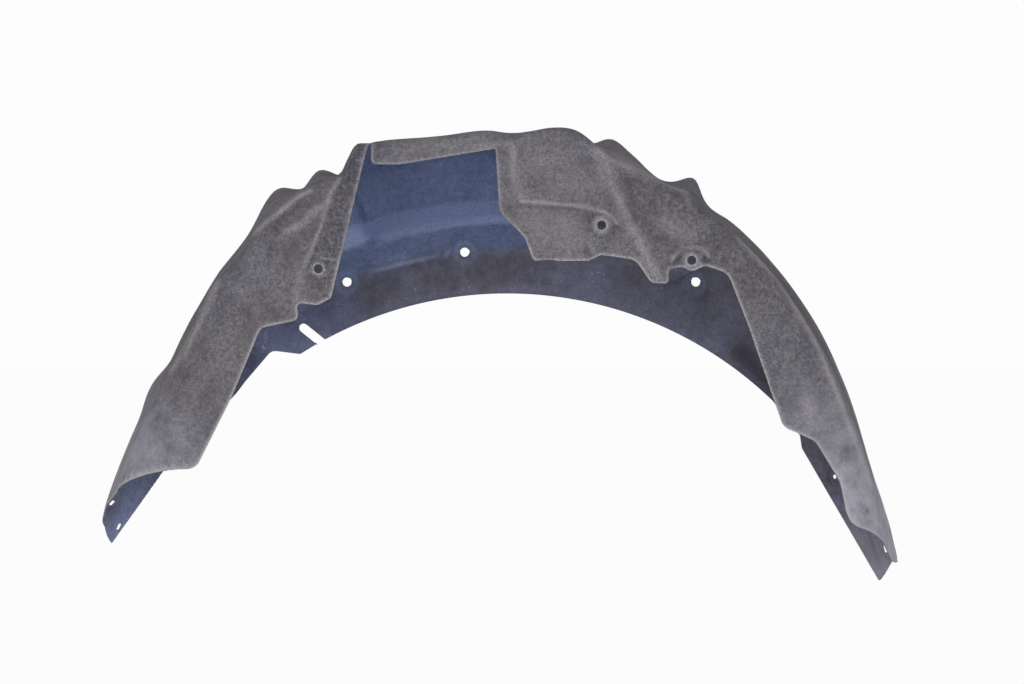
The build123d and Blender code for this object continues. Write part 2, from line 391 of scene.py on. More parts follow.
@dataclass
class Section:
    """The sheet's section: an inboard wall, a crown, and an outboard wall down to a flat lip."""

    axle: Axle
    depth: float = 260.0
    wall_drop: float = 116.0
    lip_spare: float = 24.0
    lip_share: float = 0.29
    lean: float = 0.5
    ledge_from: float = 0.25
    ledge_to: float = 0.425
    ledge_least: float = 3.0
    ledge_depth: float = 19.0
    ledge_span: Pair = (78.0, 112.0)
    ledge_soft: float = 8.0
    pocket_frame: Pair = (107.6, 114.0)
    pocket_soft: float = 1.6
    outboard_fold: float = 26.0
    inboard_fold: float = 17.0
    inboard_fold_left: float = 92.0
    inboard_fold_right: float = 60.0
    left_fold_opens: Pair = (110.0, 150.0)
    right_fold_opens: Pair = (20.0, 46.0)
    fold_room: float = 0.47
    roof: Line = (
        (78.2, 0.0), (79.4, 1.0), (81.1, 9.4), (83.2, 18.2), (85.6, 17.2), (87.8, 12.1), (89.3, 9.3),
        (92.0, 11.7), (96.5, 10.0), (99.7, 12.4), (102.1, 15.5), (103.5, 16.5), (104.9, 19.0),
        (106.0, 9.0), (107.0, 0.5), (108.2, 0.0),
    )
    lip_screws: Line = ((112.1, 41.3), (95.7, 42.0), (64.4, 52.6))
    lip_seat: float = 14.0
    lip_seat_spread: float = 2.4
    crown: tuple[Triple, ...] = (
        (6, 18, 44), (22, 27.5, 44), (30, 35, 34), (38, 52, 34), (50, 84, 34), (64, 118, 30), (79, 150, 31),
        (92, 149, 24), (105, 147, 25), (115, 149, 39), (120, 122, 32), (125, 107, 29), (136, 74, 28),
        (146, 60, 35), (158, 49, 45), (172, 30, 44),
    )
    ribs: tuple[Triple, ...] = (
        (66.8, 1.8, -4.0), (69.8, 1.3, 11.0), (73.4, 2.6, -11.0), (79.0, 1.5, 6.0), (81.0, 0.9, -5.0),
        (84.5, 2.5, 3.0), (91.6, 1.6, 3.0), (107.9, 1.4, -14.0), (112.3, 1.7, -16.0), (140.3, 3.0, 6.0),
    )
    rows: tuple[int, ...] = (50, 10, 30, 8, 10, 6, 7, 14)

    def ledge_rises(self, angle: Array) -> tuple[Array, Array]:
        """Rises of the ledge's foot and top at each angle."""
        rise = along(self.crown, 1, angle)
        wall = rise * (1 - self.lip_share)
        return self.lip_share * rise + self.ledge_from * wall, self.lip_share * rise + self.ledge_to * wall

    def corners(self, angle: Array) -> tuple[list[Array], list[Array]]:
        """Corners of the section at each angle.

        Args:
            angle: Angles about the axle.

        Returns:
            The corners, each as radius and Y by angle, and the bend radius at each corner.
        """
        base = self.axle.lip_radius
        crown = along(self.crown, 1, angle)
        rise = crown
        for at, half_width, height in self.ribs:
            rise = rise + height * bell(angle, at, half_width)
        far = base + rise
        near = base + (crown - along(self.crown, 2, angle) + along(self.roof, 1, angle))
        plain = base + self.lip_share * crown
        crease = plain.copy()
        for at, screw_rise in self.lip_screws:
            crease += (base + screw_rise + self.lip_seat - plain) * bell(angle, at, self.lip_seat_spread)
        wall = far - plain
        foot = np.maximum(plain + self.ledge_from * wall, crease + self.ledge_least)
        top = np.maximum(plain + self.ledge_to * wall, foot + self.ledge_least)
        ledge = self.ledge_depth * plateau(angle, *self.ledge_span, self.ledge_soft)
        frame = self.ledge_depth * plateau(angle, *self.pocket_frame, self.pocket_soft)
        left = ramp(angle, *self.left_fold_opens)
        right = 1 - ramp(angle, *self.right_fold_opens)
        fold = self.inboard_fold + (self.inboard_fold_left - self.inboard_fold) * left
        fold += (self.inboard_fold_right - self.inboard_fold) * right
        flat = np.zeros_like(angle)
        inboard = flat - self.depth
        corners = [
            np.stack([near - self.wall_drop, inboard], -1),
            np.stack([near, inboard], -1),
            np.stack([far, -self.lean * wall], -1),
            np.stack([top, self.lean * (plain - top) - frame], -1),
            np.stack([foot, self.lean * (plain - foot) - ledge], -1),
            np.stack([crease, flat], -1),
            np.stack([flat + base - self.lip_spare, flat], -1),
        ]
        bends = [flat, fold, flat + self.outboard_fold, flat, flat, flat, flat]
        return corners, bends

    def grid(self, angle: Array) -> Array:
        """Points of the section at each angle, from the inboard wall's foot to the lip.

        Args:
            angle: Angles about the axle.

        Returns:
            Radius and Y by angle and row.
        """
        corners, bends = self.corners(angle)
        stretches = []
        start = corners[0]
        for index in (1, 2):
            run_in = corners[index] - corners[index - 1]
            run_out = corners[index + 1] - corners[index]
            length_in = np.linalg.norm(run_in, axis=-1)
            length_out = np.linalg.norm(run_out, axis=-1)
            room = self.fold_room * np.minimum(length_in, 2 * length_out)
            run_in = run_in / length_in[:, None]
            run_out = run_out / length_out[:, None]
            cosine = np.clip((run_in * run_out).sum(-1), -1.0, 1.0)
            turn = np.arccos(cosine)
            reach = np.minimum(bends[index] * np.tan(turn / 2), room)
            radius = reach / np.tan(turn / 2)
            side = run_out - run_in * cosine[:, None]
            side = side / np.linalg.norm(side, axis=-1, keepdims=True)
            arc_start = corners[index] - run_in * reach[:, None]
            stretches.append((start, arc_start, None))
            stretches.append((arc_start, turn, (radius, run_in, side)))
            start = corners[index] + run_out * reach[:, None]
        for corner in corners[3:]:
            stretches.append((start, corner, None))
            start = corner
        rows = []
        for count, (first, last, arc) in zip(self.rows, stretches):
            for share in np.arange(count) / count:
                if arc is None:
                    rows.append(first + (last - first) * share)
                    continue
                radius, run_in, side = arc
                bent = (last * share)[:, None]
                rows.append(first + radius[:, None] * (np.sin(bent) * run_in + (1 - np.cos(bent)) * side))
        rows.append(corners[-1])
        return np.stack(rows, 1)


@dataclass
class LinerSheet:
    """The moulded felt sheet: shaped, embossed, trimmed, pierced and given its thickness."""

    axle: Axle = field(default_factory=Axle)
    thickness: float = 3.0
    first_angle: float = 8.0
    last_angle: float = 170.0
    columns: int = 430
    inboard_edge: tuple[Triple, ...] = (
        (146.6, -31.7, 6), (130.8, -6.2, 60), (122.4, 27.0, 9), (117.7, 16.5, 6), (117.0, 31.0, 5),
        (114.7, 20.5, 6), (112.75, 21.5, 5), (103.58, 139.0, 0.8), (103.3, 139.0, 0.8), (103.75, 121.0, 5),
        (101.0, 115.6, 40), (91.1, 120.5, 1.5), (90.8, 66.0, 16), (87.8, 44.0, 12), (86.6, 23.8, 6),
        (79.8, 29.6, 8), (78.4, 37.0, 8), (74.2, 39.6, 12), (71.5, 24.5, 7), (69.4, 29.0, 4),
        (70.0, 40.6, 4), (68.6, 47.4, 8), (67.2, 46.4, 7), (66.2, 55.5, 6), (63.4, 58.0, 14),
        (57.9, 25.5, 60), (46.2, -24.0, 12), (41.6, -12.5, 14), (35.0, -17.5, 25), (31.0, -27.0, 20),
        (22.0, -30.0, 6),
    )
    edge_close: Triple = (90.0, -150.0, 1.0)
    edge_reach: float = 24.0
    lip_arc: Pair = (46.1, 122.7)
    lip_arc_points: int = 60
    lobe: Line = ((125.4, 15.6), (125.8, 17.2), (126.4, 17.6))
    left_lip: Line = ((131.6, 11.1), (133.7, 8.5), (149.5, 17.3), (161.9, 33.5))
    right_nick: Line = ((39.4, -3.4), (37.7, -9.6))
    right_tip: Line = ((14.75, 0.6), (14.4, 1.5), (14.5, 4.0), (15.13, 8.8))
    right_corner: Pair = (16.5, 17.2)
    left_end: Line = ((-290, 226), (-260, 213), (-230, 200), (-200, 191), (-60, 170), (-22, 146), (3, 110))
    right_end: Line = (
        (-290, 182), (-258, 164), (-240, 155.5), (-225, 149), (-210, 145), (-182, 140), (-150, 132),
        (-120, 122), (-60, 115), (-22, 112), (3, 88),
    )
    end_corner: float = 6.5
    lip_slot: Slot = Slot((120.3, 20.0), (118.6, -8.0), 8.5)
    clip_slots: tuple[Slot, ...] = (
        Slot((156.2, 45.4), (155.8, 44.6), 2.3),
        Slot((159.1, 31.7), (158.5, 31.3), 2.2),
        Slot((31.4, 1.2), (31.2, 0.8), 2.6),
        Slot((19.0, 16.3), (18.3, 15.9), 2.6),
    )
    lip_hole: float = 9.0
    seats: tuple[Seat, ...] = (
        Seat(112.8, 49.1, 12.0, 1.5, 0.0, 8.0, 0.12, 0.3),
        Seat(79.0, 62.3, 14.0, 4.0, 20.0, 8.0, 0.32, 0.6),
        Seat(67.8, 55.5, 16.0, 6.0, 16.0, 8.0, 0.28, 0.65),
    )
    dimple: Seat = Seat(49.8, 4.5, 15.0, 3.0, 0.0)
    dish_floor: float = 0.6
    least_run_out: float = 0.1
    flange: Step = Step(
        (
            (112.6, 8.0), (117.2, 22.0), (115.6, 44.0), (111.8, 77.0), (108.4, 104.0), (107.2, 113.0),
            (106.2, 132.0), (105.4, 160.0), (102.0, 160.0), (108.0, 20.0),
        ),
        5.0,
        3.5,
    )
    panel: Step = Step(
        ((88.9, 73.0), (88.9, 170.0), (81.2, 170.0), (80.6, 125.0), (79.2, 100.0), (78.2, 76.0)), -8.0, 8.0
    )
    # A negative streak darkens the felt: painted shade in the valleys, dents and seat dish beside the folds,
    # and darker patches elsewhere
    folds: tuple[Ridge, ...] = (
        # The left shoulder and leg
        Ridge(
            ((117.8, 102.8), (114.9, 106.9), (113.5, 110.3), (111.9, 114.2), (110.6, 114.7)),
            0.42, 2.6, 4.0, 5.0,
        ),
        Ridge(((115.3, 94.9), (112.8, 102.8), (110.7, 107.7)), -0.25, 5.0, -4.5, 4.5),
        Ridge(
            ((114.5, 89.7), (112.6, 90.0), (111.1, 94.9), (109.5, 98.3), (108.4, 108.0)),
            0.28, 4.0, 3.5, 5.0,
        ),
        Ridge(((116.8, 84.0), (113.4, 80.5), (111.8, 85.0)), -0.1, 6.0, -2.0, 6.0),
        Ridge(((123.9, 83.0), (126.9, 68.5), (129.5, 59.0), (132.2, 51.0), (134.6, 49.5)), 0.42, 3.2),
        Ridge(((144.2, 4.8), (143.6, 3.6)), -0.3, 3.0, -0.8, 4.0),
        # The flap left of the cut-out
        Ridge(((107.3, 116.7), (108.4, 108.0), (110.9, 82.3), (114.6, 53.6)), 0.4, 2.2, 1.0, 2.6),
        Ridge(((114.6, 53.6), (116.0, 40.1), (116.8, 31.9)), 0.3, 3.0, 0.6, 3.0),
        Ridge(((112.0, 56.7), (110.4, 50.4)), 0.3, 1.2, 0.3, 2.0),
        Ridge(((104.6, 134.0), (108.2, 93.0), (110.8, 64.0), (113.0, 40.0)), -0.6, 14.0),
        # The block right of the cut-out
        Ridge(((89.2, 122.2), (89.0, 97.8), (88.5, 77.5)), 0.42, 4.2, 0.6, 3.5),
        Ridge(((88.4, 75.2), (82.4, 75.4), (79.1, 74.7)), 0.56, 2.3, 0.5, 3.4),
        Ridge(((79.1, 74.7), (77.9, 69.9), (77.5, 66.5)), 0.5, 2.3, 0.6, 3.4),
        # Painted shade in the dish above the second seat's hole
        Ridge(((81.4, 67.0), (79.8, 70.0), (78.5, 68.5)), -0.35, 4.5),
        Ridge(((88.4, 128.0), (92.5, 122.5)), 0.25, 3.0, 0.6, 3.0),
        Ridge(((83.8, 45.0), (82.2, 34.0)), 0.2, 2.5, 0.6, 3.0),
        Ridge(((100.0, 128.0), (93.0, 130.0)), 0.12, 12.0),
        Ridge(((86.0, 116.0), (83.0, 88.0)), 0.1, 24.0),
        Ridge(((86.0, 56.0), (81.0, 50.0)), 0.16, 18.0),
        Ridge(((80.0, 45.3), (79.2, 37.6)), 0.3, 2.5, 0.8, 3.0),
        # The inboard wall right of the block
        Ridge(((80.8, 125.7), (79.1, 100.6), (77.6, 85.5)), 0.26, 7.0, 4.0, 10.0),
        Ridge(((77.6, 85.5), (76.2, 70.4), (74.3, 56.3), (72.7, 41.8), (70.7, 30.0)), 0.28, 5.0, 4.5, 9.5),
        Ridge(
            ((80.8, 125.7), (79.3, 119.9), (75.6, 116.7), (72.8, 112.8), (70.9, 113.0)),
            0.42, 4.0, 1.6, 6.0,
        ),
        Ridge(((79.0, 126.0), (75.4, 122.5)), 0.2, 7.0),
        # Painted shade in the valley right of the long ridge
        Ridge(((77.4, 103.6), (75.1, 90.3), (72.8, 68.6)), -0.3, 9.0, -5.0, 9.0),
        Ridge(((75.5, 102.7), (73.1, 105.4)), -0.4, 5.0, -1.5, 6.0),
        Ridge(((71.5, 114.3), (70.4, 102.2)), 0.28, 3.0, 2.5, 5.0),
        Ridge(((70.3, 113.1), (68.7, 101.3)), -0.3, 4.5, -2.5, 4.0),
        Ridge(((72.4, 78.0), (69.0, 74.4)), 0.2, 8.0),
        # Painted shade over the wall under the second bump
        Ridge(((73.0, 95.0), (67.0, 74.0), (60.0, 60.0)), -0.36, 26.0),
        Ridge(((70.0, 50.1), (69.2, 63.0), (68.3, 66.5), (67.4, 67.6), (66.4, 65.2)), 0.5, 2.0, 1.6, 2.8),
        Ridge(((69.3, 52.0), (68.8, 60.0), (68.0, 63.0), (67.2, 63.2)), -0.45, 3.6),
        Ridge(((64.6, 78.0), (63.2, 66.0)), -0.3, 7.0, -2.0, 7.0),
        # The right leg
        Ridge(
            ((63.9, 89.9), (57.9, 75.4), (50.2, 50.0), (44.0, 29.7), (37.8, 14.6), (31.7, 5.3)),
            0.5, 2.6, 0.8, 4.0,
        ),
        Ridge(((51.4, 38.6), (47.3, 25.2)), -0.38, 11.0),
        Ridge(((46.2, 4.7), (45.2, 2.0)), 0.25, 8.0),
        Ridge(((37.9, 0.4), (37.3, -1.0)), -0.3, 5.0, -1.0, 6.0),
        Ridge(((29.5, -9.8), (29.2, -10.4)), -0.5, 2.0),
    )
    emboss_fade: Pair = (100.0, 24.0)
    unevenness: float = 0.7
    long_wave: float = 0.017
    short_wave: float = 0.045
    short_wave_share: float = 0.5
    short_wave_shift: Triple = (7.0, 3.0, 1.0)
    fine_fold: float = 2.6
    fine_reach: float = 6.0
    left_tip: Line = ((159.9, 30.5), (161.9, 33.5))
    cut_reach: float = 5.0
    least_split: float = 0.02
    bounds_spare: float = 30.0

    def __post_init__(self) -> None:
        """Works out the section that the sheet follows, and the place of its inboard wall."""
        self.section = Section(self.axle)
        self.inboard = -self.section.depth

    def base(self) -> Mesh:
        """A grid bent to the moulded form.

        Returns:
            The body side of the sheet, in millimetres, untrimmed.
        """
        angle = np.linspace(self.first_angle, self.last_angle, self.columns)
        grid = self.section.grid(angle)
        rows = grid.shape[1]
        mesh = bmesh.new()
        bmesh.ops.create_grid(mesh, x_segments=self.columns - 1, y_segments=rows - 1, size=0.5)
        turn = np.radians(angle)
        for vertex in mesh.verts:
            column = round((vertex.co.x + 0.5) * (self.columns - 1))
            row = round((vertex.co.y + 0.5) * (rows - 1))
            radius, y = grid[column, row]
            x = self.axle.x + radius * math.cos(turn[column])
            z = self.axle.z + radius * math.sin(turn[column])
            vertex.co = (x, y, z)
        mesh.normal_update()
        highest = max(mesh.faces, key=lambda face: face.calc_center_median().z)
        if highest.normal.z < 0:
            bmesh.ops.reverse_faces(mesh, faces=mesh.faces)
        return mesh

    @staticmethod
    def coordinates(mesh: Mesh) -> Array:
        """The places of a mesh's vertices, one to a row."""
        return np.array([vertex.co for vertex in mesh.verts])

    def emboss(self, mesh: Mesh) -> None:
        """Presses the folds, fields and seats into the inboard wall, and makes the whole sheet uneven.

        Args:
            mesh: The sheet, untrimmed.
        """
        place = self.coordinates(mesh)
        flat = place[:, [0, 2]]
        lift = np.zeros(len(place))
        for step in (self.flange, self.panel):
            inside = depth_inside(flat, self.axle.path(step.outline))
            lift += step.height * ramp(inside, -step.soft / 2, step.soft / 2)
        for ridge in self.folds:
            lift += ridge.height * bell(self.axle.from_path(flat, ridge.points), 0.0, ridge.half_width)
        for seat in (*self.seats, self.dimple):
            foot = seat.rise - seat.run_out - self.least_run_out
            gap = self.axle.from_path(flat, [(seat.angle, seat.rise), (seat.angle, foot)])
            lift -= seat.depth * (1 - ramp(gap, self.dish_floor * seat.radius, seat.radius))
        lift *= ramp(place[:, 1] - self.inboard, *self.emboss_fade)
        mesh.normal_update()
        shift = Vector(self.short_wave_shift)
        for vertex, height in zip(mesh.verts, lift):
            wave = noise.noise(vertex.co * self.long_wave)
            wave += self.short_wave_share * noise.noise(vertex.co * self.short_wave + shift)
            vertex.co += vertex.normal * (wave * self.unevenness)
            vertex.co.y -= height

    def outboard_outline(self) -> Array:
        """Outline of what is cut away inside the lip edge.

        Returns:
            The outline's points in X and Z.
        """
        arc = [(angle, 0.0) for angle in np.linspace(*self.lip_arc, self.lip_arc_points)]
        lip = self.axle.path([*arc, *self.lobe, *self.left_lip])
        tip = self.axle.path(self.right_tip)
        corner = self.axle.at(*self.right_corner)
        left = [past(lip[-2], lip[-1], self.bounds_spare), np.array([self.axle.x, self.axle.z])]
        right = [self.axle.at(0.0, self.bounds_spare), past(tip[-1], corner, self.bounds_spare), corner]
        return np.vstack([lip, *left, *right, tip[::-1], self.axle.path(self.right_nick[::-1])])

    def inboard_outline(self) -> Array:
        """Outline of what is cut away below the inboard wall's free edge.

        Returns:
            The outline's points in X and Z.
        """
        middle, below, corner = self.edge_close
        ends = (self.inboard_edge[-1][0], middle, self.inboard_edge[0][0])
        rows = [*self.inboard_edge, *((angle, below, corner) for angle in ends)]
        corners = self.axle.path([(angle, rise) for angle, rise, radius in rows])
        return rounded(corners, [radius for angle, rise, radius in rows])

    def below_end(self, place: Array, end: Line) -> Array:
        """How far each place lies below a leg's slanting end.

        Args:
            place: Places in X, Y and Z.
            end: The end's line, as places in Y and heights over the axle.

        Returns:
            The depth below the end, negative above it.
        """
        y, height = np.array(end, float).T
        return np.interp(place[:, 1], y, height) + self.axle.z - place[:, 2]

    def cut_depth(self, place: Array) -> Array:
        """How far each place lies inside what is cut away, negative on the sheet.

        Args:
            place: Places in X, Y and Z.

        Returns:
            The depth of each place.
        """
        flat = place[:, [0, 2]]
        x, y = place[:, 0], place[:, 1]
        near = self.inboard + self.edge_reach - y
        lip = y + self.edge_reach
        free_edge = np.minimum(depth_inside(flat, self.inboard_outline()), near)
        left_end = np.minimum(self.below_end(place, self.left_end), self.axle.x - x)
        right_end = np.minimum(self.below_end(place, self.right_end), x - self.axle.x)
        cuts = [np.minimum(depth_inside(flat, self.outboard_outline()), lip), free_edge]
        for end in (left_end, right_end):
            sides = [np.maximum(side + self.end_corner, 0) for side in (free_edge, end)]
            cuts.append(np.maximum(np.hypot(*sides) - self.end_corner, end))
        for screw in self.section.lip_screws:
            cuts.append(np.minimum(self.lip_hole / 2 - self.axle.from_point(flat, *screw), lip))
        for seat in self.seats:
            cuts.append(np.minimum(seat.hole / 2 - self.axle.from_point(flat, seat.angle, seat.rise), near))
        for slot in (self.lip_slot, *self.clip_slots):
            cuts.append(np.minimum(slot.width / 2 - self.axle.from_path(flat, [slot.start, slot.end]), lip))
        return np.max(cuts, axis=0)

    def close_to(self, mesh: Mesh, paths: list[Line], low: float, high: float) -> Array:
        """Whether each vertex lies close to a fold or a cut that is too fine for the plain grid.

        Args:
            mesh: The sheet.
            paths: The lines of the folds or cuts.
            low: Lowest Y of the vertices to take.
            high: Highest Y of the vertices to take.

        Returns:
            True or False for each vertex.
        """
        place = self.coordinates(mesh)
        gap = np.min([self.axle.from_path(place[:, [0, 2]], path) for path in paths], axis=0)
        return (gap < self.fine_reach) & (place[:, 1] > low) & (place[:, 1] < high)

    def refine(self, mesh: Mesh, close: Array) -> None:
        """Splits the faces that lie close to a fold or a cut, so that it comes out clean.

        Args:
            mesh: The sheet.
            close: For each vertex, whether it is close.
        """
        mesh.verts.index_update()
        edges = [edge for edge in mesh.edges if all(close[vertex.index] for vertex in edge.verts)]
        bmesh.ops.subdivide_edges(mesh, edges=edges, cuts=1, use_grid_fill=True)

    def trim(self, mesh: Mesh) -> None:
        """Cuts the sheet along its edges, holes and slots.

        Args:
            mesh: The embossed sheet.
        """
        self.refine(mesh, np.abs(self.cut_depth(self.coordinates(mesh))) < self.cut_reach)
        small = [self.left_tip, *((slot.start, slot.end) for slot in self.clip_slots)]
        self.refine(mesh, self.close_to(mesh, small, -2 * self.edge_reach, math.inf))
        depth = self.cut_depth(self.coordinates(mesh))
        mesh.verts.index_update()
        crossing = {}
        for edge in mesh.edges:
            first, second = (depth[vertex.index] for vertex in edge.verts)
            if first * second < 0:
                share = np.clip(first / (first - second), self.least_split, 1 - self.least_split)
                crossing[edge] = float(share)
        split = bmesh.ops.bisect_edges(mesh, edges=list(crossing), cuts=1, edge_percents=crossing)
        fresh = [item for item in split["geom_split"] if isinstance(item, bmesh.types.BMVert)]
        bmesh.ops.connect_verts(mesh, verts=fresh)
        mesh.faces.ensure_lookup_table()
        centres = np.array([face.calc_center_median() for face in mesh.faces])
        gone = self.cut_depth(centres) > 0
        doomed = [face for face, cut in zip(mesh.faces, gone) if cut]
        bmesh.ops.delete(mesh, geom=doomed, context="FACES")

    def build(self) -> bpy.types.Object:
        """The finished sheet.

        Returns:
            The sheet's object, at the origin, in metres.
        """
        mesh = self.base()
        fine = [ridge.points for ridge in self.folds if ridge.width <= self.fine_fold]
        self.refine(mesh, self.close_to(mesh, fine, -math.inf, self.inboard + self.edge_reach))
        self.emboss(mesh)
        self.trim(mesh)
        WearMap(self, mesh).store()
        bmesh.ops.scale(mesh, vec=(MM, MM, MM), verts=mesh.verts)
        for face in mesh.faces:
            face.smooth = True
        sheet = mesh_object("felt_sheet", mesh)
        wall = sheet.modifiers.new("thickness", "SOLIDIFY")
        wall.thickness = self.thickness * MM
        wall.offset = -1.0
        wall.use_even_offset = True
        wall.thickness_clamp = 1.0
        wall.material_offset = Side.WHEEL
        wall.material_offset_rim = Side.CUT
        return sheet


@dataclass
class WearMap:
    """Where the trimmed sheet is worn pale, darkened by painted shade and soil, lightened by dust and painted
    light, and tinted.

    Fades are distances from the inboard wall.
    """

    sheet: LinerSheet
    mesh: Mesh
    body_fade: Pair = (160.0, 100.0)
    wheel_fade: Pair = (130.0, 170.0)
    ring_width: float = 2.0
    dish_soft: float = 4.0
    rim: float = 0.72
    rim_width: float = 2.0
    rim_ends: tuple[Slope, ...] = (Slope(0.55, 34.0, 22.0), Slope(0.55, 144.0, 152.0))
    rim_cut_out: Patch = Patch(0.3, 88.0, 113.0, 3.0)
    cut_out_rises: Pair = (40.0, 60.0)
    # Painted shade on the right leg's crown strip, which faces up, away from the lamps
    crown_shade: Patch = Patch(0.55, 33.0, 62.0, 14.0)
    crown_near: Pair = (12.0, 36.0)
    crown_far: Pair = (160.0, 120.0)
    leg_tints: tuple[Slope, ...] = (Slope(1.45, 55.0, 12.0), Slope(0.7, 132.0, 152.0))
    wall_blue: Patch = Patch(1.0, 86.0, 113.6, 4.0)
    wall_rises: Pair = (38.0, 52.0)
    lobe_blue: Patch = Patch(0.45, 112.0, 175.0, 8.0)
    wheel_streaks: tuple[Ridge, ...] = (
        Ridge(((108.8, 42.2), (106.4, 43.5), (96.4, 43.7)), 0.6, 1.8),
        Ridge(((94.4, 40.7), (87.7, 41.4), (80.0, 41.4)), 0.25, 1.8),
        Ridge(((124.8, 20.0), (119.0, -2.0)), 0.5, 14.0),
        Ridge(((154.0, 30.0), (164.0, 40.0)), 0.35, 16.0),
        Ridge(((26.0, 4.0), (14.0, 6.0)), 0.12, 18.0),
        Ridge(((82.0, 18.0), (60.0, 18.0)), 0.15, 24.0),
        # Painted shade on the wheel side near the right leg's free edge
        Ridge(((54.0, 16.0), (44.0, 6.0)), -0.7, 10.0),
        Ridge(((126.95, 22.8), (126.6, 25.8)), 1.4, 1.0),
        Ridge(((124.9, 37.5), (125.9, 29.5)), 0.6, 1.4),
    )
    # Painted light: the up-facing ledge, the pocket above it and the pocket's frame are lightened as if lit
    # from the front
    ledge_light: Patch = Patch(1.1, 84.0, 112.0, 4.0)
    ledge_spread: float = 0.5
    pocket_light: Patch = Patch(0.18, 84.0, 107.4, 0.8)
    frame_light: Patch = Patch(0.6, 107.8, 115.0, 0.8)
    pocket_rises: Pair = (72.0, 130.0)
    rise_soft: float = 5.0
    hole_ring: float = 9.0
    hole_ring_width: float = 3.2
    hole_dust: float = 0.4
    lip_line: float = 4.0
    lip_line_width: float = 2.2
    lip_dust: float = 0.12

    def __post_init__(self) -> None:
        """Works out where each vertex lies about the axle."""
        self.axle = self.sheet.axle
        self.place = self.sheet.coordinates(self.mesh)
        self.flat = self.place[:, [0, 2]]
        self.inward = self.place[:, 1] - self.sheet.inboard
        x, z = self.flat[:, 0] - self.axle.x, self.flat[:, 1] - self.axle.z
        self.angle = np.degrees(np.arctan2(z, x))
        self.rise = np.hypot(x, z) - self.axle.lip_radius

    def streaks(self, ridges: tuple[Ridge, ...], fade: Array) -> list[Array]:
        """The streaks along some ridges.

        Args:
            ridges: The ridges.
            fade: How much of a streak each vertex takes.

        Returns:
            Each streak's strength at each vertex.
        """
        gaps = [self.axle.from_path(self.flat, ridge.points) for ridge in ridges]
        return [ridge.worn * bell(gap, 0.0, ridge.width) * fade for ridge, gap in zip(ridges, gaps)]

    def body_marks(self) -> tuple[Array, Array]:
        """The marks of the body side.

        Returns:
            How worn each vertex is, and how much painted shade and soil it takes.
        """
        fade = ramp(self.inward, *self.body_fade)
        worn = self.streaks(self.sheet.folds, fade)
        # Negative fold streaks paint shade into the valleys and dents, and darken a few patches
        shade_and_soil = [-streak for streak in worn]
        for seat in self.sheet.seats:
            gap = self.axle.from_point(self.flat, seat.angle, seat.rise)
            worn.append(seat.ring * bell(gap, seat.ring_radius, self.ring_width) * fade)
            # Painted shade in each seat's dish
            dish = plateau(gap, seat.ring_radius + self.ring_width, seat.radius, self.dish_soft)
            shade_and_soil.append(seat.shade * dish * fade)
        rim = self.rim + sum(slope.over(self.angle) for slope in self.rim_ends)
        rim -= self.rim_cut_out.over(self.angle) * ramp(self.rise, *self.cut_out_rises)
        worn.append(rim * bell(self.sheet.cut_depth(self.place), 0.0, self.rim_width))
        crown = ramp(self.inward, *self.crown_near) * ramp(self.inward, *self.crown_far)
        shade_and_soil.append(self.crown_shade.over(self.angle) * crown)
        return np.max(worn, axis=0, initial=0.0), np.max(shade_and_soil, axis=0, initial=0.0)

    def wheel_marks(self) -> tuple[Array, Array]:
        """The marks of the wheel side.

        Returns:
            How dusty and how soiled each vertex is.
        """
        fade = ramp(self.inward, *self.wheel_fade)
        dust_and_light = self.streaks(self.wheel_streaks, fade)
        shade_and_soil = [-streak for streak in dust_and_light]
        foot, top = self.sheet.section.ledge_rises(self.angle)
        ledge = plateau(self.rise, foot - self.ledge_spread, top + self.ledge_spread, self.rise_soft)
        pocket = plateau(self.rise, *self.pocket_rises, self.rise_soft)
        # Painted light on the ledge, the pocket and its frame
        dust_and_light.append(self.ledge_light.over(self.angle) * ledge * fade)
        dust_and_light.append(self.pocket_light.over(self.angle) * pocket * fade)
        dust_and_light.append(self.frame_light.over(self.angle) * pocket * fade)
        for screw in self.sheet.section.lip_screws:
            gap = self.axle.from_point(self.flat, *screw)
            dust_and_light.append(self.hole_dust * bell(gap, self.hole_ring, self.hole_ring_width))
        dust_and_light.append(self.lip_dust * bell(self.rise, self.lip_line, self.lip_line_width))
        return np.max(dust_and_light, axis=0, initial=0.0), np.max(shade_and_soil, axis=0, initial=0.0)

    def store(self) -> None:
        """Stores the marks and tints on the mesh, where the finishes read them."""
        worn, body_shade_and_soil = self.body_marks()
        dust_and_light, wheel_shade_and_soil = self.wheel_marks()
        wall = ramp(self.rise, *self.wall_rises)
        blue = self.wall_blue.over(self.angle) * wall + self.lobe_blue.over(self.angle) * (1 - wall)
        values = {
            Wear.EDGE: worn,
            Wear.SHADE_AND_SOIL: np.maximum(body_shade_and_soil, wheel_shade_and_soil),
            Wear.LEG: sum(slope.over(self.angle) for slope in self.leg_tints),
            Wear.BLUE: np.clip(blue, 0, 1),
            Wear.DUST_AND_LIGHT: dust_and_light,
        }
        for wear, value in values.items():
            layer = self.mesh.verts.layers.float.new(wear.value)
            for vertex, amount in zip(self.mesh.verts, value):
                vertex[layer] = float(amount)


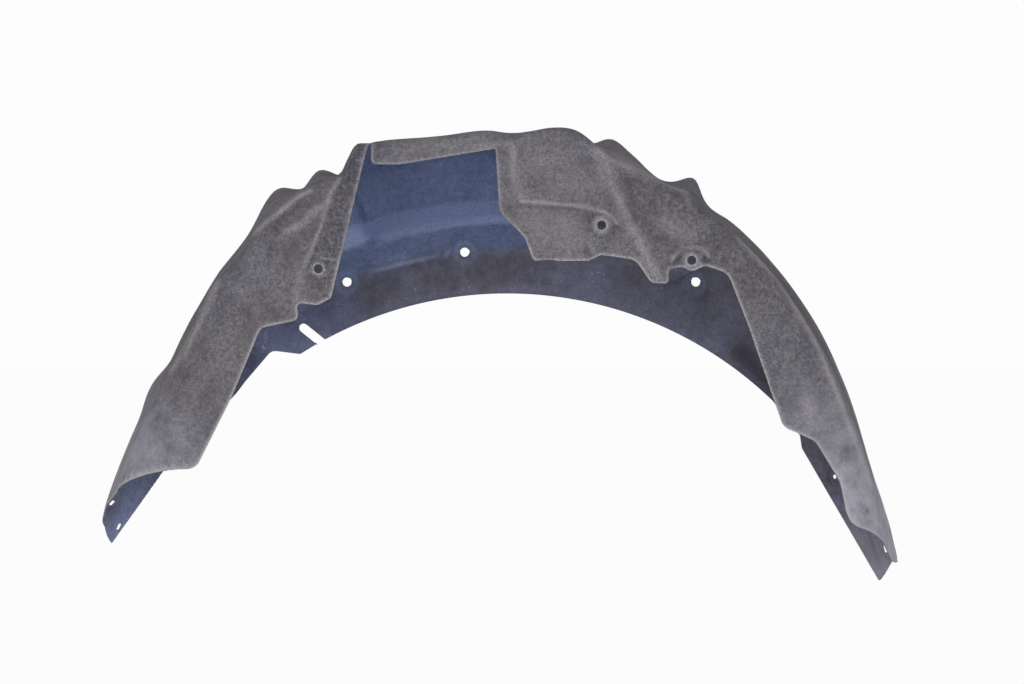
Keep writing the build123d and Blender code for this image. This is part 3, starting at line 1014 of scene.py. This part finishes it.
@dataclass
class NodeBook:
    """Writes the nodes of one material."""

    material: bpy.types.Material
    speck_core: float = 0.6
    sheen_roughness: float = 0.6

    def __post_init__(self) -> None:
        """Clears the material's nodes and adds its shader."""
        self.material.use_nodes = True
        self.tree = self.material.node_tree
        self.tree.nodes.clear()
        self.shader = add_node(self.tree, "BsdfPrincipled")
        self.link(self.shader.outputs["BSDF"], add_node(self.tree, "OutputMaterial").inputs["Surface"])
        self.place = add_node(self.tree, "TexCoord").outputs["Object"]

    def link(self, source: Socket, target: Socket) -> None:
        """Joins two sockets."""
        self.tree.links.new(source, target)

    def noise(self, size: float, detail: float, rough: float) -> Socket:
        """Cloudy noise.

        Args:
            size: Size of its blotches in metres.
            detail: Octaves of finer noise.
            rough: Strength of the finer noise.

        Returns:
            The noise, about 0 to 1.
        """
        node = add_node(self.tree, "TexNoise", Scale=1 / size, Detail=detail, Roughness=rough)
        self.link(self.place, node.inputs["Vector"])
        return node.outputs[0]

    def specks(self, gap: float, radius: float) -> Socket:
        """Small round specks, scattered.

        Args:
            gap: How far apart they lie, in metres.
            radius: Their radius in metres.

        Returns:
            1 on a speck and 0 off it.
        """
        node = add_node(self.tree, "TexVoronoi", Scale=1 / gap)
        self.link(self.place, node.inputs["Vector"])
        return self.spread(node.outputs["Distance"], radius / gap, self.speck_core * radius / gap)

    def attribute(self, wear: Wear) -> Socket:
        """A value that the mesh carries."""
        node = add_node(self.tree, "Attribute")
        node.attribute_name = wear.value
        return node.outputs["Fac"]

    def spread(self, value: Socket, low: float, high: float, to: float = 1.0) -> Socket:
        """Stretches part of a value's range to 0 and up.

        Args:
            value: The value to stretch.
            low: What becomes 0.
            high: What becomes the top.
            to: The top.

        Returns:
            The stretched value, clamped.
        """
        node = add_node(self.tree, "MapRange", From_Min=low, From_Max=high, To_Max=to)
        self.link(value, node.inputs["Value"])
        return node.outputs["Result"]

    def times(self, first: Socket, second: Socket) -> Socket:
        """Two values multiplied.

        Args:
            first: One value.
            second: The other.

        Returns:
            Their product.
        """
        node = add_node(self.tree, "Math")
        node.operation = "MULTIPLY"
        self.link(first, node.inputs[0])
        self.link(second, node.inputs[1])
        return node.outputs[0]

    def mix(self, share: Socket, first: Socket | Screen, second: Socket | Screen) -> Socket:
        """A colour between two others.

        Args:
            share: How much of the second colour.
            first: Colour at 0.
            second: Colour at 1.

        Returns:
            The mixed colour.
        """
        node = add_node(self.tree, "Mix")
        node.data_type = "RGBA"
        self.link(share, node.inputs[0])
        # The node has a set of sockets for each kind of value, and these are its colours
        for colour, socket in ((first, node.inputs[6]), (second, node.inputs[7])):
            if isinstance(colour, tuple):
                socket.default_value = (*tone(*colour), 1.0)
            else:
                self.link(colour, socket)
        return node.outputs[2]

    def bump(self, height: Socket, strength: float, distance: float) -> None:
        """Roughens the shader's normal.

        Args:
            height: Height of the surface, 0 to 1.
            strength: Share of the bump.
            distance: Full height in metres.
        """
        node = add_node(self.tree, "Bump", Strength=strength, Distance=distance)
        self.link(height, node.inputs["Height"])
        self.link(node.outputs["Normal"], self.shader.inputs["Normal"])

    def finish(self, colour: Socket, roughness: float, specular: float, sheen: float) -> None:
        """Sets the shader's colour and plain values.

        Args:
            colour: The surface's colour.
            roughness: How matt it is.
            specular: Strength of its gloss.
            sheen: Strength of its soft fibre glow.
        """
        self.link(colour, self.shader.inputs["Base Color"])
        self.shader.inputs["Roughness"].default_value = roughness
        self.shader.inputs["Specular IOR Level"].default_value = specular
        self.shader.inputs["Sheen Weight"].default_value = sheen
        self.shader.inputs["Sheen Roughness"].default_value = self.sheen_roughness


@dataclass(frozen=True)
class BodyFelt:
    """Needled felt of the body side: mottled grey, pale where it is worn, lighter down the legs, darker where
    shade and soil are painted.
    """

    dark: Screen = (78, 76, 83)
    light: Screen = (138, 135, 144)
    warm: Screen = (110, 105, 103)
    tan: Screen = (137, 131, 120)
    shade: Screen = (68, 66, 75)
    leg: Screen = (200, 198, 212)
    shade_and_soil_tone: Screen = (62, 60, 66)
    worn: Screen = (192, 188, 191)
    fibre: float = 0.0017
    mottle: float = 0.0042
    blotch: float = 0.018
    cloud: float = 0.07
    lint_gap: float = 0.008
    lint_radius: float = 0.0005
    nap: float = 0.0006
    nap_share: float = 0.4
    roughness: float = 0.95
    gloss: float = 0.05
    sheen: float = 0.03

    def material(self) -> bpy.types.Material:
        """The finish as a material.

        Returns:
            The material.
        """
        book = NodeBook(bpy.data.materials.new("body_felt"))
        fibre = book.noise(self.fibre, 3.0, 0.7)
        mottle = book.noise(self.mottle, 3.0, 0.6)
        blotch = book.noise(self.blotch, 3.0, 0.6)
        cloud = book.noise(self.cloud, 4.0, 0.6)
        colour = book.mix(book.spread(fibre, 0.30, 0.70), self.dark, self.light)
        colour = book.mix(book.spread(cloud, 0.42, 0.62, 0.35), colour, self.warm)
        colour = book.mix(book.spread(mottle, 0.50, 0.30, 0.28), colour, self.tan)
        colour = book.mix(book.spread(mottle, 0.46, 0.68, 0.40), colour, self.shade)
        colour = book.mix(book.spread(blotch, 0.44, 0.72, 0.50), colour, self.shade)
        legs = book.times(book.attribute(Wear.LEG), book.spread(blotch, 1.0, 0.1))
        colour = book.mix(legs, colour, self.leg)
        # Painted shade and soil: valleys, seat dishes and the crown strip darkened
        shade_and_soil = book.times(book.attribute(Wear.SHADE_AND_SOIL), book.spread(mottle, 0.25, 0.60))
        colour = book.mix(shade_and_soil, colour, self.shade_and_soil_tone)
        worn = book.times(book.attribute(Wear.EDGE), book.spread(fibre, 0.15, 0.60))
        colour = book.mix(worn, colour, self.worn)
        lint = book.times(book.specks(self.lint_gap, self.lint_radius), book.spread(cloud, 0.45, 0.60, 0.6))
        colour = book.mix(lint, colour, self.worn)
        book.bump(fibre, self.nap_share, self.nap)
        book.finish(colour, self.roughness, self.gloss, self.sheen)
        return book.material


@dataclass(frozen=True)
class WheelFelt:
    """The wheel side: pressed smoother, bluish behind the cut-out, dusty grey along the lip, lightened by
    painted light on the ledge, pocket and frame, and darkened by painted shade and soil.
    """

    grey: Screen = (119, 116, 126)
    blue: Screen = (119, 135, 177)
    shade: Screen = (66, 69, 92)
    dust_and_light: Screen = (174, 188, 230)
    shade_and_soil_tone: Screen = (62, 61, 70)
    leg: Screen = (172, 166, 178)
    speck: Screen = (215, 215, 222)
    fibre: float = 0.0015
    mottle: float = 0.007
    cloud: float = 0.045
    speck_gap: float = 0.0055
    speck_radius: float = 0.0007
    nap: float = 0.0005
    nap_share: float = 0.3
    roughness: float = 0.9
    gloss: float = 0.1
    sheen: float = 0.05

    def material(self) -> bpy.types.Material:
        """The finish as a material.

        Returns:
            The material.
        """
        book = NodeBook(bpy.data.materials.new("wheel_felt"))
        fibre = book.noise(self.fibre, 3.0, 0.65)
        mottle = book.noise(self.mottle, 3.0, 0.6)
        cloud = book.noise(self.cloud, 4.0, 0.6)
        colour = book.mix(book.attribute(Wear.BLUE), self.grey, self.blue)
        colour = book.mix(book.spread(fibre, 0.38, 0.66, 0.50), colour, self.shade)
        colour = book.mix(book.spread(mottle, 0.42, 0.68, 0.40), colour, self.shade)
        colour = book.mix(book.spread(cloud, 0.46, 0.70, 0.16), colour, self.dust_and_light)
        # Painted shade and soil, from the marks of both sides
        colour = book.mix(book.attribute(Wear.SHADE_AND_SOIL), colour, self.shade_and_soil_tone)
        # Dust, and painted light on the ledge, pocket and frame
        dust_and_light_share = book.times(book.attribute(Wear.DUST_AND_LIGHT), book.spread(fibre, 1.0, 0.25))
        colour = book.mix(dust_and_light_share, colour, self.dust_and_light)
        colour = book.mix(book.spread(book.attribute(Wear.LEG), 0.95, 1.35, 0.45), colour, self.leg)
        specks = book.times(book.specks(self.speck_gap, self.speck_radius), book.spread(cloud, 0.48, 0.62))
        colour = book.mix(specks, colour, self.speck)
        book.bump(fibre, self.nap_share, self.nap)
        book.finish(colour, self.roughness, self.gloss, self.sheen)
        return book.material


@dataclass(frozen=True)
class CutFelt:
    """The cut edge, where the felt's pale fibres show."""

    dark: Screen = (120, 117, 124)
    light: Screen = (170, 167, 174)
    fibre: float = 0.0012
    nap: float = 0.0007
    nap_share: float = 0.5
    roughness: float = 0.95
    gloss: float = 0.15
    sheen: float = 0.1

    def material(self) -> bpy.types.Material:
        """The finish as a material.

        Returns:
            The material.
        """
        book = NodeBook(bpy.data.materials.new("cut_felt"))
        fibre = book.noise(self.fibre, 3.0, 0.7)
        colour = book.mix(book.spread(fibre, 0.3, 0.7), self.dark, self.light)
        book.bump(fibre, self.nap_share, self.nap)
        book.finish(colour, self.roughness, self.gloss, self.sheen)
        return book.material


@dataclass(frozen=True)
class Lamp:
    """A soft square lamp that faces the object, in metres and watts."""

    name: str
    place: Triple
    size: float
    power: float

    def build(self) -> None:
        """Sets up the lamp."""
        data = bpy.data.lights.new(self.name, "AREA")
        data.size = self.size
        data.energy = self.power
        lamp = add_object(self.name, data)
        lamp.location = self.place
        lamp.rotation_euler = (-Vector(self.place)).to_track_quat("-Z", "Y").to_euler()


@dataclass
class Studio:
    """A pale floor, soft lamps, a white world and the photograph's camera."""

    camera_place: Triple = (-9.16, -2460.0, -58.0)
    lens: float = 89.4
    sensor: float = 36.0
    floor_gap: float = 130.0
    floor_size: float = 30.0
    floor_tone: float = 0.94
    floor_glow: float = 0.95
    backdrop: float = 0.98
    world_light: float = 0.44
    lamps: tuple[Lamp, ...] = (
        Lamp("key", (-0.6, -2.6, 0.3), 2.0, 32.0),
        Lamp("fill", (1.1, -2.4, -0.1), 1.8, 10.0),
    )

    def floor(self, lowest: float) -> bpy.types.Object:
        """The floor, below the object.

        Args:
            lowest: Height of the object's lowest point in metres.

        Returns:
            The floor's object.
        """
        mesh = bmesh.new()
        bmesh.ops.create_grid(mesh, x_segments=2, y_segments=2, size=self.floor_size)
        bmesh.ops.translate(mesh, vec=(0, 0, lowest - self.floor_gap * MM), verts=mesh.verts)
        floor = mesh_object("floor", mesh)
        floor.data.materials.append(self.floor_paint())
        return floor

    def floor_paint(self) -> bpy.types.Material:
        """White paint that glows a little to the camera, to meet the white world, and keeps the shadow.

        Returns:
            The material.
        """
        paint = bpy.data.materials.new("floor_paint")
        paint.use_nodes = True
        tree = paint.node_tree
        tree.nodes.clear()
        matt = add_node(tree, "BsdfDiffuse")
        matt.inputs["Color"].default_value = (self.floor_tone, self.floor_tone, self.floor_tone, 1)
        glow = add_node(tree, "Emission")
        rays = add_node(tree, "LightPath")
        share = add_node(tree, "Math")
        share.operation = "MULTIPLY"
        share.inputs[1].default_value = self.floor_glow
        blend = add_node(tree, "MixShader")
        output = add_node(tree, "OutputMaterial")
        tree.links.new(rays.outputs["Is Camera Ray"], share.inputs[0])
        for index, source in enumerate((share, matt, glow)):
            tree.links.new(source.outputs[0], blend.inputs[index])
        tree.links.new(blend.outputs[0], output.inputs["Surface"])
        return paint

    def world(self) -> None:
        """Soft light from all round, seen as white."""
        world = bpy.data.worlds.new("studio")
        bpy.context.scene.world = world
        world.use_nodes = True
        tree = world.node_tree
        background = tree.nodes["Background"]
        rays = add_node(tree, "LightPath")
        seen = rays.outputs["Is Camera Ray"]
        for name in ("Is Glossy Ray", "Is Transmission Ray"):
            either = add_node(tree, "Math")
            either.operation = "MAXIMUM"
            tree.links.new(seen, either.inputs[0])
            tree.links.new(rays.outputs[name], either.inputs[1])
            seen = either.outputs[0]
        strength = add_node(tree, "MapRange", To_Min=self.world_light, To_Max=self.backdrop)
        tree.links.new(seen, strength.inputs["Value"])
        tree.links.new(strength.outputs["Result"], background.inputs["Strength"])
        background.inputs["Color"].default_value = (1, 1, 1, 1)

    def camera(self) -> None:
        """The photograph's camera, level and square to the axle's end."""
        data = bpy.data.cameras.new("camera")
        data.lens = self.lens
        data.sensor_width = self.sensor
        camera = add_object("camera", data)
        camera.location = [value * MM for value in self.camera_place]
        camera.rotation_euler = (math.pi / 2, 0, 0)
        bpy.context.scene.camera = camera

    def build(self, lowest: float) -> bpy.types.Object:
        """Sets up the studio.

        Args:
            lowest: Height of the object's lowest point in metres.

        Returns:
            The floor's object.
        """
        bpy.context.scene.view_settings.view_transform = "Standard"
        self.world()
        for lamp in self.lamps:
            lamp.build()
        self.camera()
        return self.floor(lowest)


def main() -> None:
    """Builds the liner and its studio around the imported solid."""
    logging.basicConfig(level=logging.INFO, format="%(message)s")
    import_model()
    sheet = LinerSheet().build()
    for finish in (BodyFelt(), WheelFelt(), CutFelt()):
        sheet.data.materials.append(finish.material())
    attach(sheet, "root")
    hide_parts("liner")
    LOG.info("felt sheet: %d faces", len(sheet.data.polygons))
    low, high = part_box("liner")
    floor = Studio().build(low.z)
    LOG.info("studio: floor at %.3f m", low.z)
    bpy.context.view_layer.update()


if __name__ == "__main__":
    main()
